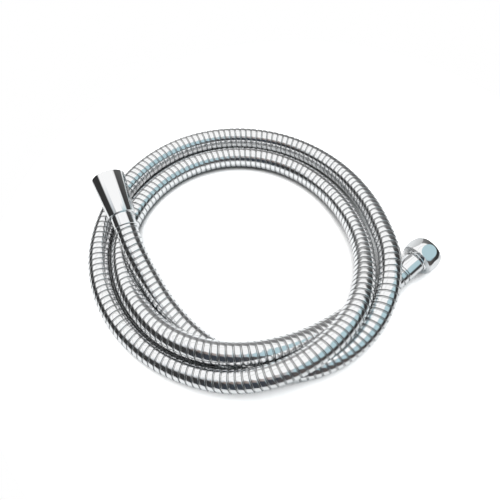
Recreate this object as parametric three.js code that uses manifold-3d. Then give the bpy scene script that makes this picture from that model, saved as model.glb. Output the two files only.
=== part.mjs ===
import * as THREE from 'three';
import { mergeVertices } from 'three/addons/utils/BufferGeometryUtils.js';
import Module from 'manifold-3d';

// Shower hose, lying in a loose coil of two and a half turns.
// Millimetres, +Z up. The origin lies on the table, under the middle of the coil.
// A spiral metal winding covers a rubber liner. Each end has a nipple with a union nut
// that turns on it: a conical nut at the handset end, a domed hexagon at the tap end.

// Hose
const windingDiameter = 14.5;
const windingWall = 1.6;
const linerWall = 1.5;
const hoseSteps = 70;
const windingSides = 12;
const linerSides = 8;

// Gaps between neighbours
const seatGap = 0.1;
const sleeveGap = 0.2;
const crimpClearance = 0.25;
const barbClearance = 0.1;
const turningClearance = 0.2;
const flangeClearance = 0.3;
const washerClearance = 0.2;
const hoseEndGap = 0.3;

// Edges of the nuts
const mouthChamfer = 0.5;
const edgeChamfer = 0.4;

// Washer
const washerHole = 10.4;
const washerThickness = 2;

// Nipple
const flangeThickness = 2.2;
const nippleWall = 0.7;
const barbHeight = 0.2;
const barbPitch = 3;
const barbPart = 0.8;
const barbCount = 4;
const barbSetback = 1;
const nippleNeckLength = 3;

// Slip ring under each nut
const slipRingThickness = 0.8;
const slipRingWidth = 1.2;

// Crimp sleeve round the liner
const crimpWall = 0.6;
const crimpTail = 5;

// Conical nut and its ferrule
const coneNutLength = 30;
const coneMouthWall = 2.3;
const coneTailWall = 1.2;
const coneSocketDepth = 10;
const coneFerruleWall = 2.1;
const coneFerruleShowing = 8.8;

// Domed hexagon nut and its ferrule
const hexSides = 6;
const hexWall = 1.9;
const hexDomeRise = 1;
const hexDomeRadius = 14.8;
const hexCrownFromMouth = 6.6;
const hexCollarWall = 1.2;
const hexCollarLength = 1.6;
const hexNutLength = 13.6;
const hexSocketDepth = 6.2;
const hexTurn = -20;
const hexFerruleWall = 1.7;
const hexFerruleShowing = 12;

// Roundness of the turned pieces
const nutSegments = 48;
const sleeveSegments = 32;
const nippleSegments = 20;

// Where the winding ends, and the way each fitting points from there
const coneEnd = new THREE.Vector3(-57.8, 51.9, 24.7);
const coneDirection = new THREE.Vector3(0.271, 0.927, 0.259).normalize();
const hexEnd = new THREE.Vector3(69, -86.5, 10.7);
const hexDirection = new THREE.Vector3(0.996, 0, 0.094).normalize();
const straightRun = 14;

// Middle line of the hose from the conical nut to the hexagon nut. It lies on the table
// and rises in long humps where one turn passes over another.
const route = [
  [-65, 19.5, 15.3], [-67.5, -8.4, 10.3], [-64.6, -36.6, 7.6], [-54.7, -63.2, 7.4],
  [-37, -85.3, 8.3], [-12.5, -99.1, 11.9], [15.1, -102, 17.5], [41.5, -93.4, 22.7],
  [63.4, -75.6, 24.1], [79.4, -52.4, 19.8], [91.2, -27.1, 14.4], [96.8, 0.5, 10.2],
  [94.3, 28.6, 8], [83.5, 54.9, 7.4], [65.5, 76.8, 7.4], [42.1, 92.9, 7.4],
  [15, 101.3, 7.4], [-13.4, 100.9, 7.4], [-40.3, 92, 7.4], [-63.8, 76.1, 7.4],
  [-82.4, 54.6, 7.4], [-93.7, 28.6, 7.4], [-96.9, 0.4, 7.4], [-92.1, -27.5, 8.1],
  [-80.4, -53.2, 11.8], [-63.1, -74.9, 17.8], [-39.3, -89, 23.6], [-11.6, -93.8, 27],
  [16.4, -89.3, 26.7], [40.8, -75.4, 22.9], [60.1, -55.6, 16.8], [73.2, -31, 11.3],
  [78.7, -3.4, 8.2], [75.1, 24.7, 7.4], [62.4, 50, 7.4], [41.6, 69.3, 7.4],
  [15.5, 80, 7.4], [-12.9, 80.9, 7.4], [-39.9, 72.3, 7.4], [-62.4, 55.1, 7.9],
  [-76.6, 30.7, 9.8], [-82, 3.1, 13.2], [-79.2, -24.7, 17.8], [-66.9, -50, 21.8],
  [-45.9, -68.9, 21.8], [-20.2, -79.9, 17], [7.1, -84.7, 10.7], [35.2, -86.5, 7.4],
];

const windingRadius = windingDiameter / 2;
const windingBore = windingRadius - windingWall;
const crimpRadius = windingBore - crimpClearance;
const crimpBore = crimpRadius - crimpWall;
const ferruleBore = crimpRadius + sleeveGap;
const coneFerruleRadius = ferruleBore + coneFerruleWall;
const hexFerruleRadius = ferruleBore + hexFerruleWall;
const linerRadius = crimpBore - sleeveGap;
const linerBore = linerRadius - linerWall;
const barbRadius = linerBore - barbClearance;
const shankRadius = barbRadius - barbHeight;
const nippleBore = shankRadius - nippleWall;

// The socket of both nuts fits round the cone's slip ring. It takes a half inch pipe thread.
const socketRadius = coneFerruleRadius + turningClearance + slipRingWidth + washerClearance;
const washerRadius = socketRadius - washerClearance;
const flangeRadius = socketRadius - flangeClearance;

const wasm = await Module();
wasm.setup();

const chrome = new THREE.MeshStandardMaterial({ color: 0xd9dcde, roughness: 0.08, metalness: 1 });
const spiral = new THREE.MeshStandardMaterial({ color: 0xcfd2d4, roughness: 0.14, metalness: 1 });
const brass = new THREE.MeshStandardMaterial({ color: 0xc9a24e, roughness: 0.3, metalness: 1 });
const steel = new THREE.MeshStandardMaterial({ color: 0xa9adb0, roughness: 0.35, metalness: 1 });
const rubber = new THREE.MeshStandardMaterial({ color: 0x1b1c1d, roughness: 0.7, metalness: 0 });
const linerRubber = new THREE.MeshStandardMaterial({ color: 0x2b2d30, roughness: 0.6, metalness: 0 });
const plastic = new THREE.MeshStandardMaterial({ color: 0xe8e8e2, roughness: 0.5, metalness: 0 });

function named(name, geometry, material) {
  const mesh = new THREE.Mesh(geometry, material);
  mesh.name = name;
  return mesh;
}

function toSolid(geometry) {
  const bare = geometry.clone();
  bare.deleteAttribute('normal');
  bare.deleteAttribute('uv');
  const merged = mergeVertices(bare, 1e-4);
  return new wasm.Manifold(new wasm.Mesh({
    numProp: 3,
    vertProperties: new Float32Array(merged.attributes.position.array),
    triVerts: new Uint32Array(merged.index.array),
  }));
}

function toGeometry(solid) {
  const mesh = solid.getMesh();
  const geometry = new THREE.BufferGeometry();
  geometry.setAttribute('position', new THREE.BufferAttribute(new Float32Array(mesh.vertProperties), 3));
  geometry.setIndex(new THREE.BufferAttribute(new Uint32Array(mesh.triVerts), 1));
  geometry.computeVertexNormals();
  return geometry;
}

// A turned ring: the profile is a closed loop of [radius, height] round the Y axis
function turned(profile, segments) {
  const points = profile.map(([radius, height]) => new THREE.Vector2(radius, height));
  points.push(points[0].clone());
  const area = points.slice(1).reduce((sum, p, i) => sum + points[i].x * p.y - p.x * points[i].y, 0);
  if (area < 0) points.reverse();
  return new THREE.LatheGeometry(points, segments);
}

// A plain sleeve between two heights, with a small chamfer on its outer edges
function sleeve(radius, bore, bottom, top, chamfer, segments) {
  return turned([
    [bore, bottom],
    [radius - chamfer, bottom],
    [radius, bottom + chamfer],
    [radius, top - chamfer],
    [radius - chamfer, top],
    [bore, top],
  ], segments);
}

// Hose. The straight run at each end keeps it square to its fitting.

function along(end, direction, distance) {
  return end.clone().addScaledVector(direction, distance);
}

const hoseLine = new THREE.CatmullRomCurve3([
  along(coneEnd, coneDirection, 3 * straightRun),
  along(coneEnd, coneDirection, straightRun),
  coneEnd,
  along(coneEnd, coneDirection, -straightRun),
  ...route.map((point) => new THREE.Vector3(...point)),
  along(hexEnd, hexDirection, -straightRun),
  hexEnd,
  along(hexEnd, hexDirection, straightRun),
  along(hexEnd, hexDirection, 3 * straightRun),
], false, 'centripetal');
hoseLine.arcLengthDivisions = 3000;

// A stretch of the middle line through a list of stations, given as lengths along it.
// The winding and the liner share their stations, so they bend alike.
class Stretch extends THREE.Curve {
  constructor(line, stations) {
    super();
    this.line = line;
    this.stations = stations;
  }

  getPoint(t, target = new THREE.Vector3()) {
    const place = t * (this.stations.length - 1);
    const index = Math.min(Math.max(Math.floor(place), 0), this.stations.length - 2);
    const length = THREE.MathUtils.lerp(this.stations[index], this.stations[index + 1], place - index);
    return this.line.getPointAt(length / this.line.getLength(), target);
  }

  getPointAt(u, target) {
    return this.getPoint(u, target);
  }

  getTangentAt(u, target) {
    return this.getTangent(u, target);
  }
}

// A pipe of flat sides. Its corners lie on the outer radius and its flats on the bore.
function tube(path, radius, bore, sides) {
  const steps = path.stations.length - 1;
  const corner = (size, side) => new THREE.Vector2(
    size * Math.cos((2 * Math.PI * side) / sides),
    size * Math.sin((2 * Math.PI * side) / sides),
  );
  const ring = (size) => Array.from({ length: sides }, (_, side) => corner(size, side));
  const section = new THREE.Shape(ring(radius));
  section.holes.push(new THREE.Path(ring(bore / Math.cos(Math.PI / sides))));
  return new THREE.ExtrudeGeometry(section, { steps, bevelEnabled: false, extrudePath: path });
}

const hoseStart = 3 * straightRun;
const hoseLength = hoseLine.getLength() - 2 * hoseStart;
const hoseStep = hoseLength / hoseSteps;

// Fittings. Each is built upwards from the end of the winding, at height zero.

function fittingHeights(ferruleShowing, nutLength, socketDepth) {
  const nutBottom = ferruleShowing;
  const mouth = nutBottom + nutLength;
  const washerTop = mouth - socketDepth;
  const flangeTop = washerTop - washerThickness - seatGap;
  const flangeBottom = flangeTop - flangeThickness;
  const shoulder = flangeBottom - slipRingThickness - 2 * seatGap;
  const linerTop = flangeBottom - nippleNeckLength;
  return { nutBottom, mouth, washerTop, flangeTop, flangeBottom, shoulder, linerTop };
}

const coneHeights = fittingHeights(coneFerruleShowing, coneNutLength, coneSocketDepth);
const hexHeights = fittingHeights(hexFerruleShowing, hexNutLength, hexSocketDepth);

const inner = Array.from({ length: hoseSteps - 1 }, (_, index) => hoseStart + (index + 1) * hoseStep);
const hoseFinish = hoseStart + hoseLength;
const windingPath = new Stretch(hoseLine, [
  hoseStart + hoseEndGap,
  ...inner,
  hoseFinish - hoseEndGap,
]);
const linerPath = new Stretch(hoseLine, [
  hoseStart - coneHeights.linerTop,
  hoseStart,
  ...inner,
  hoseFinish,
  hoseFinish + hexHeights.linerTop,
]);

// The inside of a nut, from its bottom face up to its mouth
function nutInside(heights, ferruleRadius) {
  const bore = ferruleRadius + turningClearance;
  return [
    [socketRadius + mouthChamfer, heights.mouth],
    [socketRadius, heights.mouth - mouthChamfer],
    [socketRadius, heights.shoulder],
    [bore, heights.shoulder],
    [bore, heights.nutBottom],
  ];
}

function coneNut(heights) {
  const mouthRadius = socketRadius + coneMouthWall;
  const tailRadius = coneFerruleRadius + turningClearance + coneTailWall;
  return turned([
    ...nutInside(heights, coneFerruleRadius),
    [tailRadius - edgeChamfer / 2, heights.nutBottom],
    [tailRadius, heights.nutBottom + edgeChamfer / 2],
    [mouthRadius, heights.mouth - edgeChamfer],
    [mouthRadius - edgeChamfer, heights.mouth],
  ], nutSegments);
}

// A domed body of revolution, cut by six flats, so each flat ends in a round outline
function hexNut(heights) {
  const flat = socketRadius + hexWall;
  const crown = heights.mouth - hexCrownFromMouth;
  const domeBottom = heights.nutBottom + hexCollarLength;
  const domeAt = (height) => flat + hexDomeRise - hexDomeRadius
    + Math.sqrt(hexDomeRadius ** 2 - (height - crown) ** 2);
  const collar = hexFerruleRadius + turningClearance + hexCollarWall;
  const dome = [];
  const domeRows = 12;
  const domeTop = heights.mouth - edgeChamfer;
  for (let row = 0; row <= domeRows; row += 1) {
    const height = domeBottom + ((domeTop - domeBottom) * row) / domeRows;
    dome.push([domeAt(height), height]);
  }
  const body = toSolid(turned([
    ...nutInside(heights, hexFerruleRadius),
    [collar - edgeChamfer / 2, heights.nutBottom],
    [collar, heights.nutBottom + edgeChamfer / 2],
    [collar, domeBottom - (dome[0][0] - collar) * 0.35],
    ...dome,
    [domeAt(domeTop) - edgeChamfer, heights.mouth],
  ], nutSegments));
  const corner = flat / Math.cos(Math.PI / hexSides);
  const hexagon = new THREE.Shape(Array.from({ length: hexSides }, (_, side) => new THREE.Vector2(
    corner * Math.cos((2 * (side + 0.5) * Math.PI) / hexSides),
    corner * Math.sin((2 * (side + 0.5) * Math.PI) / hexSides),
  )));
  const prism = new THREE.ExtrudeGeometry(hexagon, { depth: 3 * hexNutLength, bevelEnabled: false });
  prism.rotateX(-Math.PI / 2);
  prism.translate(0, heights.nutBottom - hexNutLength, 0);
  return toGeometry(body.intersect(toSolid(prism)));
}

// Flange, neck in the crimp sleeve, and a barbed shank that reaches into the liner
function nipple(heights) {
  const neckBottom = heights.linerTop + hoseEndGap;
  const firstBarb = heights.linerTop - barbSetback;
  const barbs = [];
  for (let count = 0; count < barbCount; count += 1) {
    const top = firstBarb - count * barbPitch;
    barbs.push([shankRadius, top]);
    barbs.push([barbRadius, top]);
    barbs.push([shankRadius, top - barbPart * barbPitch]);
  }
  const tip = firstBarb - barbCount * barbPitch;
  return turned([
    [nippleBore, tip],
    [nippleBore, heights.flangeTop],
    [flangeRadius, heights.flangeTop],
    [flangeRadius, heights.flangeBottom],
    [linerRadius, heights.flangeBottom],
    [linerRadius, neckBottom],
    [shankRadius, neckBottom],
    ...barbs,
    [shankRadius, tip],
  ], nippleSegments);
}

function fitting(prefix, end, direction, turn, heights, nutGeometry, ferruleRadius) {
  const group = new THREE.Group();
  group.position.copy(end);
  group.quaternion.setFromUnitVectors(new THREE.Vector3(0, 1, 0), direction);
  const sleeveTop = heights.flangeBottom - seatGap;
  const nut = named(`${prefix}_nut`, nutGeometry, chrome);
  nut.rotation.y = THREE.MathUtils.degToRad(turn);
  group.add(nut);
  group.add(named(`${prefix}_washer`, sleeve(
    washerRadius,
    washerHole / 2,
    heights.washerTop - washerThickness,
    heights.washerTop,
    seatGap,
    sleeveSegments,
  ), rubber));
  group.add(named(`${prefix}_nipple`, nipple(heights), brass));
  group.add(named(`${prefix}_slip_ring`, sleeve(
    washerRadius,
    ferruleRadius + turningClearance,
    heights.shoulder + seatGap,
    heights.flangeBottom - seatGap,
    seatGap,
    sleeveSegments,
  ), plastic));
  group.add(named(`${prefix}_crimp_sleeve`, turned([
    [crimpBore, -crimpTail],
    [crimpRadius, -crimpTail],
    [crimpRadius, sleeveTop],
    [crimpBore, sleeveTop],
  ], nippleSegments), steel));
  group.add(named(`${prefix}_ferrule`, sleeve(
    ferruleRadius,
    ferruleBore,
    0,
    sleeveTop,
    edgeChamfer,
    sleeveSegments,
  ), chrome));
  return group;
}

const hose = new THREE.Group();
hose.add(named('winding', tube(windingPath, windingRadius, windingBore, windingSides), spiral));
hose.add(named('liner', tube(linerPath, linerRadius, linerBore, linerSides), linerRubber));
hose.add(fitting('cone', coneEnd, coneDirection, 0, coneHeights, coneNut(coneHeights), coneFerruleRadius));
hose.add(fitting('hex', hexEnd, hexDirection, hexTurn, hexHeights, hexNut(hexHeights), hexFerruleRadius));

export default hose;
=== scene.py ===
from math import acos, ceil, cos, pi, radians, sin, sqrt, tan

import bmesh
import bpy
import numpy as np
from mathutils import Matrix, Vector


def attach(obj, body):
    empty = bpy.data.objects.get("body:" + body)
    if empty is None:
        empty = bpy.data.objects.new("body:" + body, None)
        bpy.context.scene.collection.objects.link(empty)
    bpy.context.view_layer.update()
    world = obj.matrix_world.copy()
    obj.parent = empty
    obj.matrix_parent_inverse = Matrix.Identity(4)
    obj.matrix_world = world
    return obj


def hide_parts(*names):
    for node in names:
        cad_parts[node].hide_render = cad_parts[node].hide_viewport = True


# A shower hose in a loose coil, with a conical nut and a domed hexagon nut.
# Lengths are written in millimetres and scaled to metres as each mesh is made.

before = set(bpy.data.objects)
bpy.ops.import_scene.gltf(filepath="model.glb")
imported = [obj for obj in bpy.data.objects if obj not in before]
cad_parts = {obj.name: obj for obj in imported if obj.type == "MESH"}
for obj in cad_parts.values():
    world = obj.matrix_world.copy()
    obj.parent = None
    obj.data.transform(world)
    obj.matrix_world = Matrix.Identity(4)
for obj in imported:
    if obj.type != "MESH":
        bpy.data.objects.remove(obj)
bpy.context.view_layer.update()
print("frame loaded")

mm = 0.001

# camera

photoView = {
    "place": (-104.9, -137.4, 300.0),
    "target": (2.2, -6.6, 7.25),
    "angle": 54.6,  # degrees across the square picture
}

lens = bpy.data.cameras.new("photoCamera")
lens.sensor_width = 36
lens.lens = lens.sensor_width / 2 / tan(radians(photoView["angle"] / 2))
lens.clip_start = 0.01
lens.clip_end = 50
camera = bpy.data.objects.new("photoCamera", lens)
camera.location = Vector(photoView["place"]) * mm
camera.rotation_mode = "QUATERNION"
lookWay = Vector(photoView["target"]) - Vector(photoView["place"])
camera.rotation_quaternion = lookWay.to_track_quat("-Z", "Y")
bpy.context.scene.collection.objects.link(camera)
bpy.context.scene.camera = camera

# shader helpers


class Wire:
    # a socket that can be used in sums; each operator adds its Math node
    def __init__(self, tree, socket):
        self.tree = tree
        self.socket = socket

    def maths(self, operation, first, second):
        node = self.tree.nodes.new("ShaderNodeMath")
        node.operation = operation
        for place, value in enumerate((first, second)):
            if isinstance(value, Wire):
                self.tree.links.new(value.socket, node.inputs[place])
            else:
                node.inputs[place].default_value = value
        return Wire(self.tree, node.outputs[0])

    def __add__(self, other):
        return self.maths("ADD", self, other)

    def __radd__(self, other):
        return self.maths("ADD", other, self)

    def __sub__(self, other):
        return self.maths("SUBTRACT", self, other)

    def __rsub__(self, other):
        return self.maths("SUBTRACT", other, self)

    def __mul__(self, other):
        return self.maths("MULTIPLY", self, other)

    def __rmul__(self, other):
        return self.maths("MULTIPLY", other, self)


class Finish:
    # a node tree being filled: node() adds any node from its type, settings and sockets
    def __init__(self, tree):
        self.tree = tree
        tree.nodes.clear()

    def node(self, kind, settings=None, sockets=None, out=0):
        made = self.tree.nodes.new("ShaderNode" + kind)
        for key, value in (settings or {}).items():
            if key == "stops":
                ramp = made.color_ramp
                while len(ramp.elements) < len(value):
                    ramp.elements.new(0.5)
                for stop, (place, colour) in zip(ramp.elements, value):
                    stop.position = place
                    stop.color = (*colour, 1) if hasattr(colour, "__len__") else (colour, colour, colour, 1)
            else:
                setattr(made, key, value)
        for key, value in (sockets or {}).items():
            if isinstance(value, Wire):
                self.tree.links.new(value.socket, made.inputs[key])
            else:
                made.inputs[key].default_value = value
        return Wire(self.tree, made.outputs[out]) if len(made.outputs) else None


def newMaterial(name):
    material = bpy.data.materials.new(name)
    material.use_nodes = True
    return material, Finish(material.node_tree)


def turnedPlace(finish):
    # the place on a turned piece, measured from its own axis, which is Y
    return finish.node("Attribute", {"attribute_name": "turned"}, out="Vector")


# materials


def spiralChrome():
    # the chromed strip: bright crowns, dull dark seams where the strip locks into itself, and painted shade
    # darkening the recessed band between the crowns and the walls down to the seams
    look = {
        "crown": (0.92, 0.925, 0.93),
        "seam": (0.12, 0.12, 0.123),
        "roughness": 0.075,
        "smear": 0.05,
    }
    material, f = newMaterial("spiralChrome")
    # this mixes in the dark colour: the seam's own dull colour where the strip locks, and painted shade in
    # the recessed band and on the walls
    seam = f.node("Attribute", {"attribute_name": "seam"}, out="Fac")
    place = f.node("TexCoord", out="Object")
    cloud = f.node("TexNoise", None, {"Vector": place, "Scale": 55.0, "Detail": 3.0})
    grain = f.node("TexNoise", None, {"Vector": place, "Scale": 2600.0, "Detail": 2.0})
    colour = f.node("Mix", {"data_type": "RGBA"}, {
        "Factor": seam, 6: (*look["crown"], 1), 7: (*look["seam"], 1)}, out=2)
    bump = f.node("Bump", None, {"Strength": 0.03, "Distance": 0.0001, "Height": grain})
    shader = f.node("BsdfPrincipled", None, {
        "Base Color": colour,
        "Metallic": 1 - seam * 0.6,
        "Roughness": look["roughness"] + cloud * look["smear"] + seam * 0.4,
        "Normal": bump,
    })
    f.node("OutputMaterial", None, {"Surface": shader})
    return material


def polishedChrome(name, colour, roughness):
    # plated brass: mirror bright, with faint polishing rings and smears
    material, f = newMaterial(name)
    place = turnedPlace(f)
    cloud = f.node("TexNoise", None, {"Vector": place, "Scale": 90.0, "Detail": 4.0})
    rings = f.node("TexWave", {"wave_type": "BANDS", "bands_direction": "Y"}, {
        "Vector": place, "Scale": 900.0, "Distortion": 1.2, "Detail": 2.0}, out="Fac")
    bump = f.node("Bump", None, {"Strength": 0.012, "Distance": 0.0001, "Height": rings})
    shader = f.node("BsdfPrincipled", None, {
        "Base Color": (*colour, 1),
        "Metallic": 1.0,
        "Roughness": roughness + cloud * 0.05,
        "Normal": bump,
    })
    f.node("OutputMaterial", None, {"Surface": shader})
    return material


def turnedBrass():
    material, f = newMaterial("turnedBrass")
    place = turnedPlace(f)
    cloud = f.node("TexNoise", None, {"Vector": place, "Scale": 260.0, "Detail": 3.0})
    lines = f.node("TexWave", {"wave_type": "RINGS", "rings_direction": "Y"}, {
        "Vector": place, "Scale": 700.0, "Distortion": 0.4}, out="Fac")
    colour = f.node("ValToRGB", {"stops": ((0.3, (0.46, 0.30, 0.11)), (0.7, (0.66, 0.47, 0.20)))},
                    {"Fac": cloud})
    bump = f.node("Bump", None, {"Strength": 0.12, "Distance": 0.0002, "Height": lines})
    shader = f.node("BsdfPrincipled", None, {
        "Base Color": colour, "Metallic": 1.0, "Roughness": 0.22 + cloud * 0.16, "Normal": bump})
    f.node("OutputMaterial", None, {"Surface": shader})
    return material


def blackRubber(name, low, high, scale):
    material, f = newMaterial(name)
    place = f.node("TexCoord", out="Object")
    speck = f.node("TexNoise", None, {"Vector": place, "Scale": scale, "Detail": 4.0})
    colour = f.node("ValToRGB", {"stops": ((0.35, low), (0.7, high))}, {"Fac": speck})
    bump = f.node("Bump", None, {"Strength": 0.25, "Distance": 0.0002, "Height": speck})
    shader = f.node("BsdfPrincipled", None, {
        "Base Color": colour, "Roughness": 0.55 + speck * 0.3, "Normal": bump})
    f.node("OutputMaterial", None, {"Surface": shader})
    return material


def whitePlastic():
    material, f = newMaterial("slipPlastic")
    place = turnedPlace(f)
    speck = f.node("TexNoise", None, {"Vector": place, "Scale": 500.0, "Detail": 2.0})
    colour = f.node("ValToRGB", {"stops": ((0.3, (0.74, 0.74, 0.70)), (0.7, (0.82, 0.82, 0.79)))},
                    {"Fac": speck})
    shader = f.node("BsdfPrincipled", None, {"Base Color": colour, "Roughness": 0.4 + speck * 0.15})
    f.node("OutputMaterial", None, {"Surface": shader})
    return material


def pressedSteel():
    material, f = newMaterial("pressedSteel")
    place = turnedPlace(f)
    streak = f.node("TexWave", {"wave_type": "BANDS", "bands_direction": "Y"}, {
        "Vector": place, "Scale": 500.0, "Distortion": 3.0, "Detail": 2.0}, out="Fac")
    colour = f.node("ValToRGB", {"stops": ((0.0, (0.44, 0.45, 0.46)), (1.0, (0.56, 0.57, 0.58)))},
                    {"Fac": streak})
    bump = f.node("Bump", None, {"Strength": 0.1, "Distance": 0.0001, "Height": streak})
    shader = f.node("BsdfPrincipled", None, {
        "Base Color": colour, "Metallic": 1.0, "Roughness": 0.28 + streak * 0.12, "Normal": bump})
    f.node("OutputMaterial", None, {"Surface": shader})
    return material


stripFinish = spiralChrome()
nutFinish = polishedChrome("nutChrome", (0.93, 0.935, 0.94), 0.035)
ferruleFinish = polishedChrome("ferruleChrome", (0.92, 0.925, 0.93), 0.045)
brassFinish = turnedBrass()
washerFinish = blackRubber("washerRubber", (0.012, 0.012, 0.013), (0.03, 0.03, 0.03), 900.0)
linerFinish = blackRubber("linerRubber", (0.02, 0.02, 0.022), (0.045, 0.045, 0.05), 400.0)
plasticFinish = whitePlastic()
steelFinish = pressedSteel()
print("materials made")

# middle line of the hose

coneEnd = Vector((-57.8, 51.9, 24.7))
coneWay = Vector((0.271, 0.927, 0.259)).normalized()
hexEnd = Vector((69, -86.5, 10.7))
hexWay = Vector((0.996, 0, 0.094)).normalized()
straightRun = 14

# from the conical nut to the hexagon nut, as in the part
route = [
    (-65, 19.5, 15.3), (-67.5, -8.4, 10.3), (-64.6, -36.6, 7.6), (-54.7, -63.2, 7.4),
    (-37, -85.3, 8.3), (-12.5, -99.1, 11.9), (15.1, -102, 17.5), (41.5, -93.4, 22.7),
    (63.4, -75.6, 24.1), (79.4, -52.4, 19.8), (91.2, -27.1, 14.4), (96.8, 0.5, 10.2),
    (94.3, 28.6, 8), (83.5, 54.9, 7.4), (65.5, 76.8, 7.4), (42.1, 92.9, 7.4),
    (15, 101.3, 7.4), (-13.4, 100.9, 7.4), (-40.3, 92, 7.4), (-63.8, 76.1, 7.4),
    (-82.4, 54.6, 7.4), (-93.7, 28.6, 7.4), (-96.9, 0.4, 7.4), (-92.1, -27.5, 8.1),
    (-80.4, -53.2, 11.8), (-63.1, -74.9, 17.8), (-39.3, -89, 23.6), (-11.6, -93.8, 27),
    (16.4, -89.3, 26.7), (40.8, -75.4, 22.9), (60.1, -55.6, 16.8), (73.2, -31, 11.3),
    (78.7, -3.4, 8.2), (75.1, 24.7, 7.4), (62.4, 50, 7.4), (41.6, 69.3, 7.4),
    (15.5, 80, 7.4), (-12.9, 80.9, 7.4), (-39.9, 72.3, 7.4), (-62.4, 55.1, 7.9),
    (-76.6, 30.7, 9.8), (-82, 3.1, 13.2), (-79.2, -24.7, 17.8), (-66.9, -50, 21.8),
    (-45.9, -68.9, 21.8), (-20.2, -79.9, 17), (7.1, -84.7, 10.7), (35.2, -86.5, 7.4),
]


def smoothLine(points, steps=40):
    line = []
    for i in range(1, len(points) - 2):
        a, b, c, d = points[i - 1:i + 3]
        ab, bc, cd = sqrt((b - a).length), sqrt((c - b).length), sqrt((d - c).length)
        leave = ((b - a) / ab - (c - a) / (ab + bc) + (c - b) / bc) * bc
        reach = ((c - b) / bc - (d - b) / (bc + cd) + (d - c) / cd) * bc
        for k in range(steps):
            t = k / steps
            line.append(b + leave * t + (3 * (c - b) - 2 * leave - reach) * t ** 2
                        + (2 * (b - c) + leave + reach) * t ** 3)
    return np.array([list(p) for p in line])


class MiddleLine:
    # places along the hose by length, with a cross frame that doesn't twist; 0 is at the conical nut
    def __init__(self, points):
        steps = np.linalg.norm(np.diff(points, axis=0), axis=1)
        lengths = np.concatenate([[0], np.cumsum(steps)])
        start, finish = (lengths[np.argmin(np.linalg.norm(points - np.array(end), axis=1))]
                         for end in (coneEnd, hexEnd))
        self.points, self.lengths, self.total = points, lengths - start, finish - start
        along = np.gradient(points, axis=0)
        self.along = along / np.linalg.norm(along, axis=1)[:, None]
        side = np.cross(self.along[0], (0, 0, 1))
        sides = []
        for way in self.along:
            side = side - way * side.dot(way)
            side = side / np.linalg.norm(side)
            sides.append(side)
        self.sides = np.array(sides)

    def at(self, lengths):
        place, along, side = (
            np.stack([np.interp(lengths, self.lengths, table[:, k]) for k in range(3)], axis=-1)
            for table in (self.points, self.along, self.sides))
        along /= np.linalg.norm(along, axis=-1)[..., None]
        side -= along * (side * along).sum(-1)[..., None]
        side /= np.linalg.norm(side, axis=-1)[..., None]
        return place, along, side, np.cross(along, side)


linePoints = [coneEnd + coneWay * straightRun * k for k in (5, 3, 1, 0, -1)]
linePoints += [Vector(p) for p in route]
linePoints += [hexEnd + hexWay * straightRun * k for k in (-1, 0, 1, 3, 5)]
middle = MiddleLine(smoothLine(linePoints))
print("hose line %.1f mm" % middle.total)

# winding

winding = {
    "radius": 7.36,
    "boreRadius": 5.65,
    "endGap": 0.3,
    "pitch": 4.3,
    "sides": 24,
    "boreSides": 14,
    "boreStep": 9,
    "floorGap": 0.02,
    # one turn of the strip: part of the pitch, depth under the crown, how much it is darkened (the seam's own
    # dull colour, and painted shade in the recessed band and on the walls)
    "strip": ((0.0, 0.75, 1), (0.035, 0.1, 0.35), (0.06, 0.02, 0), (0.1, 0.0, 0),
              (0.71, 0.0, 0), (0.75, 0.02, 0), (0.775, 0.1, 0.35), (0.81, 0.75, 1),
              (0.85, 0.46, 0.25), (0.905, 0.42, 0.1), (0.96, 0.46, 0.25)),
}


def bareMesh(name, vertices, faces):
    mesh = bpy.data.meshes.new(name)
    mesh.from_pydata(vertices, [], faces)
    mesh.update()
    return mesh


def ringFaces(rings, columns, closed=False):
    # faces between rings of points; the last ring also meets the first one where closed
    return [(i * columns + j, i * columns + (j + 1) % columns,
             (i + 1) % rings * columns + (j + 1) % columns, (i + 1) % rings * columns + j)
            for i in range(rings if closed else rings - 1) for j in range(columns)]


def addPiece(name, mesh, finish, body, replaced, matrix=None, sharp=30):
    piece = bpy.data.objects.new(name, mesh)
    bpy.context.scene.collection.objects.link(piece)
    mesh.materials.append(finish)
    mesh.polygons.foreach_set("use_smooth", [True] * len(mesh.polygons))
    mesh.set_sharp_from_angle(angle=radians(sharp))
    if matrix is not None:
        own = np.empty(len(mesh.vertices) * 3, dtype=np.float32)
        mesh.vertices.foreach_get("co", own)
        mesh.attributes.new("turned", "FLOAT_VECTOR", "POINT").data.foreach_set("vector", own)
        mesh.transform(matrix)
    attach(piece, body)
    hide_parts(*replaced)
    return piece


def stripSurface():
    # the strip's profile wound along the hose as one long screw; also each point's place along the hose
    w = winding
    rows, sides = len(w["strip"]), w["sides"]
    turns = ceil(middle.total / w["pitch"]) + 3
    part, depth, seam = np.array(w["strip"], dtype=float).T
    station = np.arange(turns * rows)
    column = np.arange(sides)
    base = (station // rows - 2 + part[station % rows]) * w["pitch"]
    lengths = base[:, None] + w["pitch"] * column[None, :] / sides
    place, _, side, up = middle.at(lengths)
    place[..., 2] = np.maximum(place[..., 2], w["radius"] + w["floorGap"])
    angle = 2 * pi * column / sides
    radius = (w["radius"] - depth[station % rows])[:, None, None]
    points = place + radius * (side * np.cos(angle)[None, :, None] + up * np.sin(angle)[None, :, None])
    index = np.arange(points.shape[0] * sides).reshape(points.shape[:2])
    # the last column meets the first one a turn further on
    wrapped = np.concatenate([index[:-rows], index[rows:, :1]], axis=1)
    faces = np.stack([wrapped[:-1, :-1], wrapped[:-1, 1:], wrapped[1:, 1:], wrapped[1:, :-1]], axis=-1)
    mesh = bareMesh("winding", (points.reshape(-1, 3) * mm).tolist(), faces.reshape(-1, 4).tolist())
    # darkening per row: 1 at the dark seam, and painted shade of 0.1 to 0.35 in the recessed band and on the
    # walls
    layer = mesh.attributes.new("seam", "FLOAT", "POINT")
    layer.data.foreach_set("value", np.repeat(seam[station % rows], sides))
    return mesh, lengths.reshape(-1)


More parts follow.
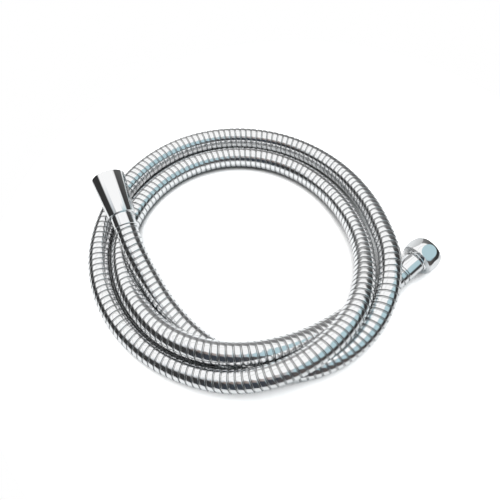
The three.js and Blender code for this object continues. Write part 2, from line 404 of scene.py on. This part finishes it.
def cutEnds(bm, reach, first, last):
    # cuts the screw square at both ends of the hose, and gives each end's place and direction
    pitch = winding["pitch"]

    def kept(v):
        return first - pitch < reach[v.index] < last + pitch

    spare = [v for v in bm.verts if not kept(v)]
    nearEnds = [[v for v in bm.verts if abs(reach[v.index] - end) < pitch * 1.5 and kept(v)]
                for end in (first, last)]
    bmesh.ops.delete(bm, geom=spare, context="VERTS")
    ends = []
    for length, outwards, near in ((first, -1, nearEnds[0]), (last, 1, nearEnds[1])):
        place, along = (Vector(v) for v in middle.at(np.array(length))[:2])
        ends.append((place * mm, along))
        geometry = dict.fromkeys(item for v in near for item in (v, *v.link_edges, *v.link_faces))
        bmesh.ops.bisect_plane(bm, geom=list(geometry), plane_co=place * mm, plane_no=along * outwards,
                               clear_outer=True, dist=1e-7)
    return ends


def addBore(bm, first, last):
    # the bore is a plain inner wall
    w = winding
    place, _, side, up = middle.at(np.linspace(first, last, ceil(middle.total / w["boreStep"])))
    turns = [2 * pi * j / w["boreSides"] for j in range(w["boreSides"])]
    radius = w["boreRadius"]
    rings = [[bm.verts.new(Vector(place[k] + radius * (side[k] * cos(turn) + up[k] * sin(turn))) * mm)
              for turn in turns] for k in range(len(place))]
    for lower, upper in zip(rings, rings[1:]):
        for j in range(w["boreSides"]):
            k = (j + 1) % w["boreSides"]
            bm.faces.new((lower[j], upper[j], upper[k], lower[k]))


def makeWinding():
    mesh, reach = stripSurface()
    first, last = winding["endGap"], middle.total - winding["endGap"]
    bm = bmesh.new()
    bm.from_mesh(mesh)
    ends = cutEnds(bm, reach, first, last)
    addBore(bm, first, last)
    for place, along in ends:
        # the cut edge of the strip and the bore's last ring lie in one plane
        edges = [e for e in bm.edges if e.is_boundary and (e.verts[0].co - place).length < 9 * mm
                 and abs((e.verts[0].co - place).dot(along)) < 1e-5]
        bmesh.ops.bridge_loops(bm, edges=edges)
    bmesh.ops.recalc_face_normals(bm, faces=bm.faces)
    bm.to_mesh(mesh)
    bm.free()
    return addPiece("windingStrip", mesh, stripFinish, "hose", ["winding"], sharp=40)


strip = makeWinding()
print("winding: %d faces" % len(strip.data.polygons))

# turned pieces of the two fittings

segments = 112

# sizes that both fittings share
fitting = {
    "socketDiameter": 18.6,
    "mouthChamfer": (0.6, 0.5),  # outwards, and down the socket
    "threadStart": 0.4,  # above the washer
    "clearance": 0.2,  # between the ferrule and what turns round it
    "seatGap": 0.1,  # between pieces that the nut presses together
    "washerDiameter": 18.2, "washerHole": 10.4, "washerThickness": 2.0,
    "flangeDiameter": 18, "flangeThickness": 2.2, "nippleBore": 4.2,
    "neckDiameter": 9.2, "neckLength": 3, "shankDiameter": 5.6, "shankLength": 13,
    "barbDiameter": 6, "barbPitch": 3, "barbLength": 2.4, "barbCount": 4, "barbSetback": 1,
    "slipDiameter": 18.2, "slipThickness": 0.8,
    "sleeveDiameter": 10.8, "sleeveBore": 9.6, "sleeveTail": 5,
    "ferruleBore": 11.2,
}
coneNut = {
    "showing": 8.8, "length": 30, "socketDepth": 10,
    "mouthDiameter": 23.2, "tailDiameter": 18.2, "ferruleDiameter": 15.4, "edge": 0.55,
}
hexNut = {
    "showing": 12, "length": 13.6, "socketDepth": 6.2, "turn": -20,
    "acrossFlats": 22.4, "domeDiameter": 24.4, "domeRadius": 14.8, "domeLength": 12, "domeRows": 40,
    "crownFromMouth": 6.6, "collarDiameter": 17.4, "ferruleDiameter": 14.6, "edge": 0.4,
    "collarChamfer": (0.9, 0.95),  # inwards, and along the collar
    "flatEdge": 0.22,
    "mergeWithin": 0.12,  # joins cut corners that lie this close
}
socketThread = {"pitch": 1.814, "depth": 1.1, "rows": 8, "runOut": 1.2}


def rounded(profile):
    # a closed profile of (radius, height, corner radius); each corner becomes a short arc
    points = []
    count = len(profile)
    for i, (x, y, r) in enumerate(profile):
        here = Vector((x, y))
        if not r:
            points.append(here)
            continue
        back = (Vector(profile[i - 1][:2]) - here).normalized()
        ahead = (Vector(profile[(i + 1) % count][:2]) - here).normalized()
        half = acos(max(-1, min(1, back.dot(ahead)))) / 2
        if half > pi / 2 - 0.02:
            points.append(here)
            continue
        start, finish = here + back * r / tan(half), here + ahead * r / tan(half)
        hub = here + (back + ahead).normalized() * r / sin(half)
        steps = max(2, ceil((pi - 2 * half) / radians(18)))
        first, last = start - hub, finish - hub
        turn = first.angle_signed(last)
        for k in range(steps + 1):
            points.append(hub + Matrix.Rotation(-turn * k / steps, 2) @ first)
    return [(p.x, p.y) for p in points]


def ringPoint(radius, height, j, columns):
    turn = 2 * pi * j / columns
    return radius * cos(turn) * mm, height * mm, radius * sin(turn) * mm


def ringMesh(name, profile, closed=True, columns=segments):
    # turns a profile round the Y axis
    points = [ringPoint(radius, height, j, columns) for radius, height in profile for j in range(columns)]
    return bareMesh(name, points, ringFaces(len(profile), columns, closed))


def fixNormals(mesh, merge=0.0):
    bm = bmesh.new()
    bm.from_mesh(mesh)
    if merge:
        bmesh.ops.remove_doubles(bm, verts=bm.verts, dist=merge)
    bmesh.ops.recalc_face_normals(bm, faces=bm.faces)
    bm.to_mesh(mesh)
    bm.free()
    return mesh


def threadWall(low, high, radius):
    # the socket's wall between two heights, with a thread cut into it that runs out at both ends
    t = socketThread
    rows = ceil((high - low) / t["pitch"] * t["rows"])
    points = []
    for row in range(rows + 1):
        height = low + (high - low) * row / rows
        fade = max(0, min(1, (height - low) / t["runOut"], (high - height) / (t["runOut"] * 0.6)))
        for j in range(segments):
            phase = (height / t["pitch"] + j / segments) % 1
            wave = min(1, max(0, (0.5 - abs(phase - 0.5)) * 2.6 - 0.15))
            points.append(ringPoint(radius + t["depth"] * fade * wave, height, j, segments))
    return points, ringFaces(rows + 1, segments)


def nutMesh(name, n, h, outside):
    # outside runs from the nut's tail over its mouth to the thread; the rest is the same in both nuts
    socket, bore = fitting["socketDiameter"] / 2, n["ferruleDiameter"] / 2 + fitting["clearance"]
    threadLow, threadHigh = h["washerTop"] + fitting["threadStart"], h["mouth"] - fitting["mouthChamfer"][1]
    inside = [(socket, threadLow, 0), (socket, h["shoulder"], 0),
              (bore, h["shoulder"], 0.1), (bore, h["bottom"], 0.2)]
    body = ringMesh(name, rounded(inside + outside + [(socket, threadHigh, 0)]), closed=False)
    points = [tuple(v.co) for v in body.vertices]
    faces = [tuple(p.vertices) for p in body.polygons]
    wallPoints, wallFaces = threadWall(threadLow, threadHigh, socket)
    faces += [tuple(i + len(points) for i in face) for face in wallFaces]
    return fixNormals(bareMesh(name, points + wallPoints, faces), merge=1e-6)


def heights(n):
    # heights above the end of the hose, from the nut's own sizes
    mouth = n["showing"] + n["length"]
    washerTop = mouth - n["socketDepth"]
    flangeTop = washerTop - fitting["washerThickness"] - fitting["seatGap"]
    flangeBottom = flangeTop - fitting["flangeThickness"]
    shoulder = flangeBottom - fitting["slipThickness"] - 2 * fitting["seatGap"]
    return {"bottom": n["showing"], "mouth": mouth, "washerTop": washerTop, "flangeTop": flangeTop,
            "flangeBottom": flangeBottom, "shoulder": shoulder,
            "linerTop": flangeBottom - fitting["neckLength"]}


def placing(end, way, turn=0):
    turned = Vector((0, 1, 0)).rotation_difference(way).to_matrix().to_4x4()
    return Matrix.Translation(end * mm) @ turned @ Matrix.Rotation(radians(turn), 4, "Y")


def makeConeNut():
    n, h = coneNut, heights(coneNut)
    mouth, tail = n["mouthDiameter"] / 2, n["tailDiameter"] / 2
    outside = [(tail, h["bottom"], n["edge"] * 0.6), (mouth, h["mouth"], n["edge"]),
               (fitting["socketDiameter"] / 2 + fitting["mouthChamfer"][0], h["mouth"], 0.15)]
    addPiece("coneUnionNut", nutMesh("coneNut", n, h, outside), nutFinish, "cone_nut", ["cone_nut"],
             placing(coneEnd, coneWay))


def makeHexNut():
    n, h = hexNut, heights(hexNut)
    collar, edge = n["collarDiameter"] / 2, n["edge"]
    crown = h["mouth"] - n["crownFromMouth"]
    domeBottom, domeTop = h["mouth"] - n["domeLength"], h["mouth"] - edge

    def domeAt(height):
        return n["domeDiameter"] / 2 - n["domeRadius"] + sqrt(n["domeRadius"] ** 2 - (height - crown) ** 2)

    rows = n["domeRows"]
    levels = [domeBottom + (domeTop - domeBottom) * k / rows for k in range(rows + 1)]
    tail, lip = domeAt(domeBottom), domeAt(domeTop)
    inwards, upwards = n["collarChamfer"]
    outside = [(collar - inwards, h["bottom"], 0.1), (collar, h["bottom"] + upwards, 0.25),
               (collar, domeBottom - (tail - collar) * 0.35, 0.2),
               *((domeAt(level), level, 0) for level in levels),
               (lip - edge * 0.35, h["mouth"] - 0.12, 0), (lip - edge, h["mouth"], 0),
               (fitting["socketDiameter"] / 2 + fitting["mouthChamfer"][0], h["mouth"], 0.1)]
    mesh = nutMesh("hexNut", n, h, outside)
    bm = bmesh.new()
    bm.from_mesh(mesh)
    # six flats are cut from the dome, and each cut is closed again with a face of its own
    for flat in range(6):
        way = Vector((cos(flat * pi / 3), 0, sin(flat * pi / 3)))
        cut = bmesh.ops.bisect_plane(bm, geom=bm.verts[:] + bm.edges[:] + bm.faces[:], dist=1e-7,
                                     plane_co=way * n["acrossFlats"] / 2 * mm, plane_no=way, clear_outer=True)
        edges = [e for e in cut["geom_cut"] if isinstance(e, bmesh.types.BMEdge) and e.is_boundary]
        corners = list(dict.fromkeys(v for e in edges for v in e.verts))
        bmesh.ops.remove_doubles(bm, verts=corners, dist=n["mergeWithin"] * mm)
        bm.faces.new(loopOf([e for e in bm.edges if e.is_boundary]))
    bm.normal_update()
    rims = [e for face in bm.faces if len(face.verts) > 12 for e in face.edges]
    bmesh.ops.bevel(bm, geom=rims, offset=n["flatEdge"] * mm, segments=3, profile=0.6, affect="EDGES",
                    clamp_overlap=True)
    bmesh.ops.recalc_face_normals(bm, faces=bm.faces)
    bm.to_mesh(mesh)
    bm.free()
    return addPiece("hexUnionNut", mesh, nutFinish, "hex_nut", ["hex_nut"],
                    placing(hexEnd, hexWay, n["turn"]))


def loopOf(edges):
    # the corners of a closed loop of edges, in order
    left = list(edges)
    edge = left.pop()
    corners = list(edge.verts)
    while left:
        edge = next(e for e in left if corners[-1] in e.verts)
        left.remove(edge)
        corners.append(edge.other_vert(corners[-1]))
    return corners[:-1]


def ringProfile(outer, inner, low, high, edge):
    # a plain ring between two diameters and two heights
    return rounded([(inner / 2, low, edge), (outer / 2, low, edge),
                    (outer / 2, high, edge), (inner / 2, high, edge)])


def nippleProfile(h):
    s = fitting
    bore, flange = s["nippleBore"] / 2, s["flangeDiameter"] / 2
    neck, shank = s["neckDiameter"] / 2, s["shankDiameter"] / 2
    tip, step = h["linerTop"] - s["shankLength"], h["linerTop"] + 0.3
    profile = [(bore, tip, 0), (bore, h["flangeTop"], 0.4), (flange, h["flangeTop"], 0.25),
               (flange, h["flangeBottom"], 0.2), (neck, h["flangeBottom"], 0),
               (neck, step, 0), (shank, step, 0)]
    for barb in range(s["barbCount"]):
        high = h["linerTop"] - s["barbSetback"] - s["barbPitch"] * barb
        profile += [(shank, high, 0), (s["barbDiameter"] / 2, high, 0), (shank, high - s["barbLength"], 0)]
    return rounded(profile + [(shank, tip, 0)])


def makeInsides(prefix, n, matrix):
    # washer, nipple, slip ring, crimp sleeve and ferrule of one fitting
    s, h = fitting, heights(n)
    gap, cover, bore = s["seatGap"], n["ferruleDiameter"] / 2, s["ferruleBore"] / 2
    top = h["flangeBottom"] - gap
    washerBottom = h["washerTop"] - s["washerThickness"]
    washer = ringProfile(s["washerDiameter"], s["washerHole"], washerBottom, h["washerTop"], 0.3)
    slipRing = ringProfile(s["slipDiameter"], (cover + s["clearance"]) * 2, h["shoulder"] + gap, top, 0.12)
    sleeve = ringProfile(s["sleeveDiameter"], s["sleeveBore"], -s["sleeveTail"], top, 0.15)
    ferrule = rounded([(bore, 0, 0), (cover, 0, 0.5), (cover, top, 0.2), (bore, top, 0)])
    made = []
    for name, profile, finish, slot in (
            ("washer", washer, washerFinish, "seal_rubber"),
            ("nipple", nippleProfile(h), brassFinish, "brass"),
            ("slip_ring", slipRing, plasticFinish, "slip_plastic"),
            ("crimp_sleeve", sleeve, steelFinish, "sleeve_steel"),
            ("ferrule", ferrule, ferruleFinish, "chrome")):
        label = prefix + "".join(word.title() for word in name.split("_"))
        mesh = fixNormals(ringMesh(label, profile, columns=96))
        made.append(addPiece(label, mesh, finish, "hose", [prefix + "_" + name], matrix))
    return made


makeInsides("cone", coneNut, placing(coneEnd, coneWay))
hexParts = makeInsides("hex", hexNut, placing(hexEnd, hexWay))
makeConeNut()
hexUnion = makeHexNut()
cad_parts["liner"].data.materials.clear()
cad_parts["liner"].data.materials.append(linerFinish)
print("fittings made")

cordPath = middle.at(np.linspace(winding["endGap"], middle.total - winding["endGap"], 480))[0] * mm

# floor and light

studio = {
    "floorPlace": (0.039, -0.032),
    "floorRadius": 0.23,
    "fadeFrom": 0.12,  # the paper darkens from here to its rim
    "floorColours": (0.92, 0.45),  # in the middle and at the rim, as the metal sees it
    # the colour of the painted shade in sheltered places on the paper, seen only by the camera
    "paintedGapShade": 0.15,
    "gapReach": 0.03,
    "paintedShadeOpenness": (0.33, 0.55),  # how open a place on the paper is where its painted shade is full, and where the painted shade ends
    "paperGlow": 0.85,
    "screenRadius": 4.0,
    "screenBand": (-88, 72),  # degrees above the table
    "front": (-0.6335, -0.7737),  # the side of the table where the camera stands
    "screenEdge": 11,  # how sharply a screen ends
    "tintEdge": 9,
    # once round the table, from the back over the left, the front and the right to the back again:
    # how high the dark screens stand (1 is straight up), their colour, and the tint above them
    "screenTops": ((0.0, 0.38), (0.05, 0.30), (0.10, 0.22), (0.17, 0.26), (0.25, 0.35), (0.30, 0.39),
                   (0.35, 0.46), (0.40, 0.46), (0.46, 0.48), (0.54, 0.44), (0.62, 0.24), (0.72, 0.24),
                   (0.78, 0.32), (0.84, 0.46), (0.88, 0.48), (0.94, 0.43), (1.0, 0.38)),
    "screens": ((0.0, 0.26), (0.05, 0.50), (0.10, 0.20), (0.15, 0.06), (0.25, 0.036), (0.38, 0.042),
                (0.44, (0.045, 0.055, 0.07)), (0.50, (0.05, 0.055, 0.065)), (0.58, (0.12, 0.105, 0.10)),
                (0.67, 0.065), (0.75, 0.034), (0.84, 0.055), (0.90, 0.13), (0.95, 0.17), (1.0, 0.26)),
    "tints": ((0.0, 1.0), (0.27, 1.0), (0.32, (0.60, 0.64, 0.67)), (0.37, (0.20, 0.155, 0.135)),
              (0.45, (0.36, 0.32, 0.31)), (0.51, (0.46, 0.45, 0.46)), (0.56, (0.44, 0.60, 0.66)),
              (0.78, (0.47, 0.64, 0.69)), (0.84, 1.0), (1.0, 1.0)),
    "tintTops": ((0.0, 0.6), (0.30, 0.62), (0.5, 0.68), (0.73, 0.74), (0.765, 0.74), (0.80, 0.56),
                 (1.0, 0.56)),
    "lampPlace": (0.25, 0.35, 0.95),
    "lampSize": 0.9,
    "lampPower": 7,
}


def stagePiece(name, points, faces, material):
    mesh = bareMesh(name, points, faces)
    mesh.materials.append(material)
    piece = bpy.data.objects.new(name, mesh)
    bpy.context.scene.collection.objects.link(piece)
    return piece


def makeFloor():
    # a round sheet of white paper
    hub, radius = studio["floorPlace"], studio["floorRadius"]
    sides = 96
    turns = [2 * pi * k / sides for k in range(sides)]
    rim = [(hub[0] + radius * cos(turn), hub[1] + radius * sin(turn), 0) for turn in turns]
    material, f = newMaterial("floorPaper")
    rays = f.node("LightPath", out="Is Camera Ray")
    # painted shade: the camera sees the paper dark where ambient occlusion finds it sheltered, as in the
    # narrow gaps between turns of the hose
    shelter = f.node("AmbientOcclusion", {"samples": 8}, {"Distance": studio["gapReach"]}, out="AO")
    dark, light = studio["paintedShadeOpenness"]
    clear = f.node("MapRange", {"clamp": True}, {"Value": shelter, "From Min": dark, "From Max": light})
    place = f.node("TexCoord", out="Object")
    away = f.node("VectorMath", {"operation": "LENGTH"}, {0: place}, out="Value")
    middleColour, rimColour = studio["floorColours"]
    fade = f.node("MapRange", {"clamp": True}, {
        "Value": away, "From Min": studio["fadeFrom"], "From Max": radius,
        "To Min": middleColour, "To Max": rimColour})
    # painted shade: for camera rays, sheltered paper is mixed towards the dark gap colour
    colour = f.node("Mix", {"data_type": "RGBA"}, {
        "Factor": rays * (1 - clear), 6: fade, 7: (studio["paintedGapShade"],) * 3 + (1,)}, out=2)
    paper = f.node("BsdfDiffuse", None, {"Color": colour})
    # the glow that whitens the paper for the camera is held back where the paper is sheltered, which paints
    # shade there too
    lift = f.node("Emission", None, {"Color": rays * studio["paperGlow"] * clear, "Strength": 1.0})
    both = f.node("AddShader", None, {0: paper, 1: lift})
    f.node("OutputMaterial", None, {"Surface": both})
    stagePiece("floor", rim, [tuple(range(sides))], material)


def makeScreens():
    # dark and tinted screens round the table, open to the white room above; the camera doesn't see them
    columns, rows, radius = 72, 40, studio["screenRadius"]
    low, high = studio["screenBand"]
    points = []
    for row in range(rows + 1):
        height = radians(low + (high - low) * row / rows)
        for k in range(columns):
            turn = 2 * pi * k / columns
            points.append((radius * cos(height) * cos(turn), radius * cos(height) * sin(turn),
                           radius * sin(height)))
    material, f = newMaterial("screenCloth")
    place = f.node("TexCoord", out="Object")
    way = f.node("VectorMath", {"operation": "NORMALIZE"}, {0: place}, out="Vector")
    front = Vector((*studio["front"], 0))
    right = Vector((-front.y, front.x, 0))
    toFront = f.node("VectorMath", {"operation": "DOT_PRODUCT"}, {0: way, 1: front}, out="Value")
    toRight = f.node("VectorMath", {"operation": "DOT_PRODUCT"}, {0: way, 1: right}, out="Value")
    up = f.node("SeparateXYZ", None, {"Vector": way}, out="Z")
    turn = toRight.maths("ARCTAN2", toRight, toFront) * (0.5 / pi) + 0.5
    height = up.maths("ARCSINE", up, 0) * (2 / pi)
    top, screen, tint, tintTop = (f.node("ValToRGB", {"stops": studio[key]}, {"Fac": turn})
                                  for key in ("screenTops", "screens", "tints", "tintTops"))
    seen = f.node("Mix", {"data_type": "RGBA"}, {
        "Factor": (height - top) * studio["screenEdge"] + 0.5, 6: screen, 7: tint}, out=2)
    cloth = f.node("Emission", None, {"Color": seen, "Strength": 1.0})
    gap = f.node("BsdfTransparent")
    both = f.node("MixShader", None, {0: (height - tintTop) * studio["tintEdge"] + 0.5, 1: cloth, 2: gap})
    f.node("OutputMaterial", None, {"Surface": both})
    stagePiece("screens", points, ringFaces(rows + 1, columns), material).visible_camera = False


def makeWorld():
    # a plain white room, to the camera and to the chrome
    world = bpy.data.worlds.new("studioWorld")
    bpy.context.scene.world = world
    world.use_nodes = True
    f = Finish(world.node_tree)
    background = f.node("Background", None, {"Color": (1, 1, 1, 1), "Strength": 1.0})
    f.node("OutputWorld", None, {"Surface": background})


def makeLamp():
    # a soft square lamp above the coil, which the chrome doesn't mirror
    data = bpy.data.lights.new("topSoftbox", "AREA")
    data.shape = "SQUARE"
    data.size = studio["lampSize"]
    data.energy = studio["lampPower"]
    lamp = bpy.data.objects.new("topSoftbox", data)
    lamp.location = studio["lampPlace"]
    lamp.rotation_mode = "QUATERNION"
    lamp.rotation_quaternion = (-Vector(studio["lampPlace"])).to_track_quat("-Z", "Y")
    lamp.visible_glossy = False
    bpy.context.scene.collection.objects.link(lamp)


makeFloor()
makeScreens()
makeWorld()
makeLamp()

bpy.context.scene.view_settings.view_transform = "Standard"
print("studio made")
